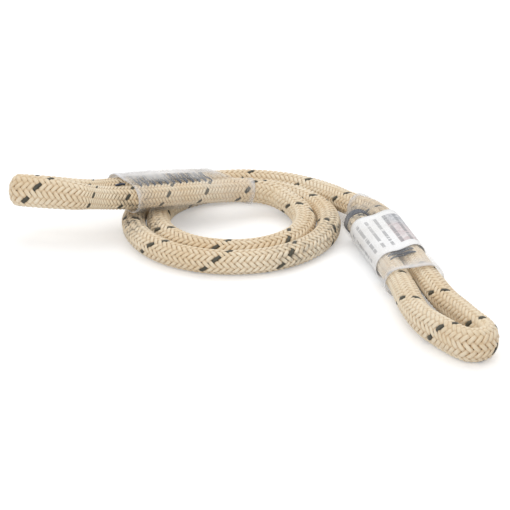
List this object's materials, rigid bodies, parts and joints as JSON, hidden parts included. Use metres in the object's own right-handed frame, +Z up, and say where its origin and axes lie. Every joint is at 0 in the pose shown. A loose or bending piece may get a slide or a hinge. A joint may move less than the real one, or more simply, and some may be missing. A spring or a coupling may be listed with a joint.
{
  "type": "sewn hitch cord",
  "caption": "Short braided kernmantle cord with a sewn, sleeved eye at each end, lying in a flat coil; used as a friction hitch or as a backup lanyard.",
  "frame": {"origin": "on the ground, under the middle of the part's box", "axes": "+Z up from the ground the coil lies on; +X from the left eye towards the right eye; -Y is the side that the right eye points to"},
  "size_m": [0.1495, 0.1368, 0.0207],
  "materials": {
    "aramid_sheath": "braided aramid yarn with a dark tracer yarn",
    "rope_core": "parallel white polyamide yarns",
    "sewing_thread": "bonded navy sewing thread",
    "clear_sleeve": "milky clear shrink tube",
    "label_film": "white printed film",
    "tail_binding": "dark binding on the cut end"
  },
  "bodies": {
    "root": {"left_eye_sheath": "aramid_sheath", "coil_sheath": "aramid_sheath", "right_eye_sheath": "aramid_sheath", "left_eye_core": "rope_core", "coil_core": "rope_core", "right_eye_core": "rope_core", "left_needle_thread": "sewing_thread", "left_bobbin_thread": "sewing_thread", "right_needle_thread": "sewing_thread", "right_bobbin_thread": "sewing_thread", "left_sleeve": "clear_sleeve", "right_sleeve": "clear_sleeve", "right_label": "label_film", "right_tail_band": "tail_binding"}
  },
  "joints": []
}
